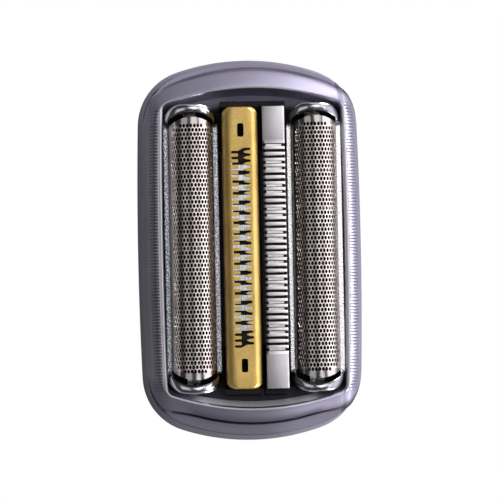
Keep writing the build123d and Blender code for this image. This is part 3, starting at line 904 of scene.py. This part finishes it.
def combMesh(name, slot, comb, middleX, ends, rows, weld=None):
    # Rows of teeth or bars along Y, each a share of the stagger further on, joined to the plain ends.
    helpers = {tooth.name: tooth for tooth in (ends, *rows)}
    values = {
        "Count": comb.slots - 1,
        "Pitch": comb.pitch * mm,
        "Stagger": comb.stagger * mm,
        "Place": (middleX * mm, 0, 0),
        **helpers,
    }
    graph, wires = startTree(name, values)
    index = graph.node("GeometryNodeInputIndex")
    pieces = []
    for tooth, share in rows.items():
        along = (index - (wires.Count - 1) * 0.5) * wires.Pitch + wires.Stagger * share
        spots = graph.pointsAt(wires.Count, 0.0, along)
        teeth = graph.copies(spots, graph.shapeOf(wires[tooth.name]))
        pieces.append(graph.node("GeometryNodeRealizeInstances", {0: teeth}))
    whole = graph.join(pieces + [graph.shapeOf(wires[ends.name])])
    if weld:
        whole = graph.weld(whole, weld)
    whole = graph.node("GeometryNodeTransform", {"Geometry": whole, "Translation": wires.Place})
    mesh = runTree(endTree(graph, whole, slot), values, name)
    for helper in helpers.values():
        bpy.data.objects.remove(helper)
    return mesh


# The gilt comb: tooth tiles along both edges of its centre slot, and two plain ends with an eye.
giltComb = Sizes(
    flat=1.7, pitch=0.905, slotWidth=0.4, reach=1.5, tipFrom=0.42,
    pointed=[(0.42, 0.86), (0.12, 0.36), (-0.02, 0.14)],  # past tipFrom, and share of the half width
    blunt=[(0.1, 0.92), (0.02, 0.7)],
    slots=34, stagger=0.46, eyeHalfWidth=0.5, eyeHalfLength=1.05, eyeSquare=0.35, eyeFromEnd=3.6,
    corner=(1.3, 0.6, 0.3), sheet=0.26,
    # The bevel as share of its width, inset from the end, and share of its drop
    bevel=[(0.05, 0.02, 1.1), (0.22, 0.06, 0.82), (0.52, 0.12, 0.42), (0.82, 0.2, 0.1), (1.0, 0.28, 0.0)],
    bevelDrop=0.72, wallDrop=0.98, weld=0.004, slotSteps=5, bendSteps=8, eyeSteps=4,
)


def toothTile(name, sign, tip, edge, half, top):
    # One pitch of the comb on one side: a tooth between two half slots, the bevel and the wall.
    pitch = giltComb.pitch
    radius = giltComb.slotWidth / 2
    root = pitch / 2 - radius
    slotEnd = cornerArc(giltComb.reach, radius, radius, giltComb.slotSteps)
    upper = [(x, pitch / 2 - y) for x, y in slotEnd]
    upper += [(giltComb.tipFrom + past, root * share) for past, share in giltComb[tip]]
    flat = half - edge[-1][0]
    outline = [(flat, pitch / 2)] + upper + [(x, -y) for x, y in reversed(upper)] + [(flat, -pitch / 2)]
    build = bmesh.new()
    build.faces.new(points(build, [(sign * x, y, top) for x, y in outline]))
    for (inset0, _, z0), (inset1, _, z1) in zip(edge, edge[1:]):
        x0, x1 = sign * (half - inset0), sign * (half - inset1)
        spots = [(x0, -pitch / 2, z0), (x0, pitch / 2, z0), (x1, pitch / 2, z1), (x1, -pitch / 2, z1)]
        build.faces.new(points(build, spots))
    return linked(name, closeMesh(build, name))


def combEnds(edge, half, halfLong, top):
    # Both plain ends, the second being the first turned half round.
    run = (giltComb.slots - 1) * giltComb.pitch / 2
    leftY, rightY = run - giltComb.stagger / 2, run + giltComb.stagger / 2
    radius = giltComb.slotWidth / 2
    slotEnd = cornerArc(giltComb.reach, radius, radius, giltComb.slotSteps)
    slot = [(giltComb.tipFrom, radius)] + slotEnd[::-1]
    turns = quarterTurns(giltComb.eyeSteps)
    eye = []  # half an eye, from its top down
    for turn in turns[::-1] + [-turn for turn in turns[1:]]:
        reachX, reachY = abs(cos(turn)) ** giltComb.eyeSquare, abs(sin(turn)) ** giltComb.eyeSquare
        reachY = copysign(reachY, turn) * giltComb.eyeHalfLength
        eye.append((reachX * giltComb.eyeHalfWidth, halfLong - giltComb.eyeFromEnd + reachY))
    build = bmesh.new()
    for turned in (1, -1):
        rows = []
        for inset, endInset, z in edge:
            full, lost, least = giltComb.corner
            corner = max(full - lost * inset, least)
            x, y = half - inset, halfLong - endInset
            bend = cornerArc(x, y, corner, giltComb.bendSteps)
            path = [(-x, leftY)] + [(-bx, by) for bx, by in bend] + [(0.0, y)] + bend[::-1] + [(x, rightY)]
            rows.append(points(build, [(turned * px, turned * py, z) for px, py in path]))
        skin(build, rows, False)
        rim = rows[-1]
        middle = len(rim) // 2
        onAxis = [(0.0, turned * y, top) for y in (eye[0][1], eye[-1][1], run + radius)]
        eyeTop, eyeLow, slotMiddle = points(build, onAxis)
        for sign, startY, border in ((-1, leftY, rim[: middle + 1]), (1, rightY, rim[middle:][::-1])):
            loop = border + [eyeTop]
            loop += points(build, [(turned * sign * x, turned * y, top) for x, y in eye[1:-1]])
            loop += [eyeLow, slotMiddle]
            loop += points(build, [(turned * sign * x, turned * (startY + y), top) for x, y in slot])
            build.faces.new(loop)
    return linked("combEnds", closeMesh(build, "combEnds"))


def makeGiltComb():
    half, halfLong, seat, top, middleX = measure("lift_comb")
    # How the edge falls away, as inset from the side, inset from the end, and height
    edge = [(0.0, 0.0, seat), (0.0, 0.0, top - giltComb.wallDrop)]
    for share, endInset, fall in giltComb.bevel:
        edge.append(((half - giltComb.flat) * share, endInset, top - fall * giltComb.bevelDrop))
    ends = combEnds(edge, half, halfLong, top)
    left = toothTile("leftTooth", -1, "blunt", edge, half, top)
    right = toothTile("rightTooth", 1, "pointed", edge, half, top)
    rows = {left: -0.5, right: 0.5}
    build = bmesh.new()
    build.from_mesh(combMesh("giltComb", "gilt_comb", giltComb, middleX, ends, rows, giltComb.weld))
    turnOut(build)
    if sum(face.normal.z * face.calc_area() for face in build.faces) < 0:
        bmesh.ops.reverse_faces(build, faces=build.faces)
    mesh = thicken(closeMesh(build, "giltComb"), "giltComb", giltComb.sheet)
    meshObject("giltComb", mesh, 32, "lift_trimmer", "gilt_comb", "lift_comb")


makeGiltComb()
print("gilt comb made")


# The steel comb: bars between slots that run right across and down its flanks, and two plain ends.
steelComb = Sizes(
    pitch=0.9, slots=36, slotWidth=0.47, slotDepth=0.85, stagger=0.0,
    bevel=0.28, bevelFall=0.4, sheet=0.3, softEdge=0.03, softFrom=60, softCurve=0.6,
)


def capSection(half, top, foot):
    # Section of the folded cap above the given level, outside first and then inside.
    bevel, sheet = steelComb.bevel, steelComb.sheet
    low = top - sheet
    outside = [(-half, foot), (-half, top - bevel * steelComb.bevelFall), (bevel - half, top)]
    inside = [(sheet - half, foot), (sheet - half, low - bevel / 2), (sheet + bevel / 2 - half, low)]
    left = outside + [(-x, z) for x, z in reversed(outside)]
    return left + [(-x, z) for x, z in inside] + list(reversed(inside))


def combHelper(name, runs):
    # Sections carried along Y, closed at both ends, with softened edges.
    build = bmesh.new()
    for section, startY, endY in runs:
        rows = [points(build, [(x, y, z) for x, z in section]) for y in (startY, endY)]
        skin(build, rows)
        for row in rows:
            build.faces.new(row)
    turnOut(build)
    least, soft, curve = radians(steelComb.softFrom), steelComb.softEdge * mm, steelComb.softCurve
    sharp = [edge for edge in build.edges if edge.calc_face_angle(0.0) > least]
    bmesh.ops.bevel(build, geom=sharp, offset=soft, segments=2, affect="EDGES", profile=curve)
    return linked(name, closeMesh(build, name))


def makeSteelComb():
    half, halfLong, seat, top, middleX = measure("direct_comb")
    pitch, slotWidth = steelComb.pitch, steelComb.slotWidth
    shoulder = top - steelComb.slotDepth
    halfBar = (pitch - slotWidth) / 2
    lastSlot = (steelComb.slots - 1) * pitch / 2 + slotWidth / 2
    runs = []
    for sign in (-1, 1):
        runs.append((capSection(half, top, seat), sign * lastSlot, sign * halfLong))
        outer, inner = sign * half, sign * (half - steelComb.sheet)
        flank = [(outer, seat), (outer, shoulder), (inner, shoulder), (inner, seat)]
        runs.append((flank, -lastSlot, lastSlot))
    bar = (capSection(half, top, shoulder - steelComb.softEdge), -halfBar, halfBar)
    rows = {combHelper("bar", [bar]): 0.0}
    mesh = combMesh("steelComb", "steel_comb", steelComb, middleX, combHelper("ends", runs), rows)
    meshObject("steelComb", mesh, 28, "direct_trimmer", "steel_comb", "direct_comb")


makeSteelComb()
print("steel comb made")


# The leaf springs, bent smoothly.
leaf = Sizes(
    thickness=0.2, foot=1.6, crown=1.4, lip=0.4, bowFoot=0.7, bends=10, floatTravel=2.0, couplerTravel=1.1,
)


def leafBend(startY, endY, startZ, endZ):
    shares = [step / leaf.bends for step in range(leaf.bends + 1)]
    return [(startY + share * (endY - startY), startZ + ease(share) * (endZ - startZ)) for share in shares]


def leafObject(name, node, path, body):
    half, _, _, _, middleX = measure(node)
    left, right = middleX - half, middleX + half
    build = bmesh.new()
    rows = []
    for y, z in path:
        top = z + leaf.thickness
        rows.append(points(build, [(left, y, z), (right, y, z), (right, y, top), (left, y, top)]))
    skin(build, rows)
    build.faces.new(rows[0])
    build.faces.new(rows[-1])
    return meshObject(name, closeMesh(build, name, True), 40, body, "spring_steel", node)


def makeFloatSpring(owner, end):
    # Stands on the floor of the frame, and its crown lifts one end of a foil ring or a trimmer.
    node = f"float_spring_{owner}_{end}"
    low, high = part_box(node)
    sign = copysign(1, low.y)
    inner, outer = sorted((abs(low.y) / mm, abs(high.y) / mm))
    floor, crown = low.z / mm, high.z / mm - leaf.thickness
    path = [(inner, floor)] + leafBend(inner + leaf.foot, outer - leaf.crown, floor, crown)
    path += leafBend(outer - leaf.crown / 2, outer, crown, crown - leaf.lip)
    path = [(sign * y, z) for y, z in path]
    name = "floatSpring" + owner.capitalize() + end.capitalize()
    piece = leafObject(name, node, path, "frame")
    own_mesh(piece)


def makeCutterSpring(side):
    # A bow on the coupler, whose crown presses the blades up to the foil.
    node = "cutter_spring_" + side
    low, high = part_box(node)
    half = high.y / mm
    foot = half - leaf.bowFoot
    middle = leaf.crown / 2
    floor, crown = low.z / mm, high.z / mm - leaf.thickness
    path = [(-half, floor)] + leafBend(-foot, -middle, floor, crown)
    path += leafBend(middle, foot, crown, floor) + [(half, floor)]
    piece = leafObject("cutterSpring" + side.capitalize(), node, path, side + "_cutter")
    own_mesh(piece)


for owner in ("left", "right", "lift", "direct"):
    makeFloatSpring(owner, "front")
    makeFloatSpring(owner, "rear")
makeCutterSpring("left")
makeCutterSpring("right")
print("springs made")


# Stage, lamps and camera
studio = Sizes(
    floorHalf=1.5, floorLevel=-0.02, floor=(0.3, 0.3, 0.31, 1), floorGlow=0.97, glowPower=1.03,
    world=(0.05, 0.05, 0.056, 1), cool=(0.97, 0.95, 1.0),
    shaded=(16.0, 28.0), dimmed=(100.0, 210.0), dimGlow=0.1,
)


def makeFloor():
    mesh = bpy.data.meshes.new("floor")
    half = studio.floorHalf
    level = studio.floorLevel * mm
    corners = [(x * half, y * half, level) for x, y in ((-1, -1), (1, -1), (1, 1), (-1, 1))]
    mesh.from_pydata(corners, [], [(0, 1, 2, 3)])
    graph = startLook("paleFloor")
    paper = graph.node("ShaderNodeBsdfDiffuse", {"Color": studio.floor})
    glow = graph.node("ShaderNodeEmission", {"Color": (1, 1, 1, 1), "Strength": studio.glowPower})
    rays = ("Is Camera Ray", "Is Glossy Ray", "Is Transmission Ray")
    seen, glossy, through = (graph.node("ShaderNodeLightPath", output=ray) for ray in rays)
    # No glow under the part, and little in reflections close beside it, where the floor is in its shade
    x, y = graph.place()[:2]
    lit = []
    for halfX, halfY in (studio.shaded, studio.dimmed):
        far = (abs(x) / (halfX * mm)).call("POWER", 4.0) + (abs(y) / (halfY * mm)).call("POWER", 4.0)
        lit.append(far.fade(0.8, 1.0))
    inMirror = lit[1].ramp(studio.dimGlow, 1 - studio.dimGlow)
    share = seen * lit[0] + (glossy + through).atMost(1.0) * inMirror
    share = share.atMost(1.0) * studio.floorGlow
    mixed = graph.node("ShaderNodeMixShader", {0: share, 1: paper, 2: glow})
    graph.node("ShaderNodeOutputMaterial", {"Surface": mixed})
    mesh.materials.append(graph.look)
    floor = linked("floor", mesh)


def makeLamp(name, place, size, power, colour=(1, 1, 1)):
    lamp = bpy.data.lights.new(name, "AREA")
    lamp.shape = "RECTANGLE"
    lamp.size, lamp.size_y = size
    lamp.energy = power
    lamp.color = colour
    holder = linked(name, lamp)
    holder.location = place
    holder.rotation_euler = Vector(place).to_track_quat("Z", "Y").to_euler()


makeFloor()
makeLamp("rightBox", (0.63, 0.0, 0.26), (0.6, 0.7), 3.2, studio.cool)
makeLamp("cornerBox", (0.43, 0.54, 0.13), (0.3, 0.26), 8.0, studio.cool)
makeLamp("lowBox", (0.48, -0.5, 0.1), (0.24, 0.22), 7.5, studio.cool)
makeLamp("fillBox", (-0.5, 0.0, 0.68), (0.4, 0.5), 0.45)
makeLamp("topBox", (0.25, 0.2, 0.86), (0.5, 0.64), 1.7)
makeLamp("farBox", (0.1, 0.65, 0.3), (0.4, 0.2), 0.4)

world = bpy.data.worlds.new("studio")
world.use_nodes = True
world.node_tree.nodes["Background"].inputs["Color"].default_value = studio.world
bpy.context.scene.world = world

view = Sizes(
    distance=580.0, toLeft=4.0, toNear=1.3, roll=1.15, pixels=500, pixelsPerMm=6.32, aim=(0.26, 0.0, 0.0),
)


def makeCamera():
    camera = bpy.data.cameras.new("camera")
    holder = linked("camera", camera)
    camera.sensor_fit = "HORIZONTAL"
    camera.angle = 2 * atan(view.pixels / view.pixelsPerMm / 2 / view.distance)
    camera.clip_start = 0.01
    back = Vector((-tan(radians(view.toLeft)), -tan(radians(view.toNear)), 1.0)).normalized()
    right = Vector((0, 1, 0)).cross(back).normalized()
    up = back.cross(right)
    turn = Matrix.Rotation(radians(-view.roll), 3, back)
    matrix = Matrix((turn @ right, turn @ up, back)).transposed().to_4x4()
    matrix.translation = Vector(view.aim) * mm + back * view.distance * mm
    holder.matrix_world = matrix
    bpy.context.scene.camera = holder


makeCamera()
bpy.context.scene.view_settings.view_transform = "Standard"
print("stage, lamps and camera set")
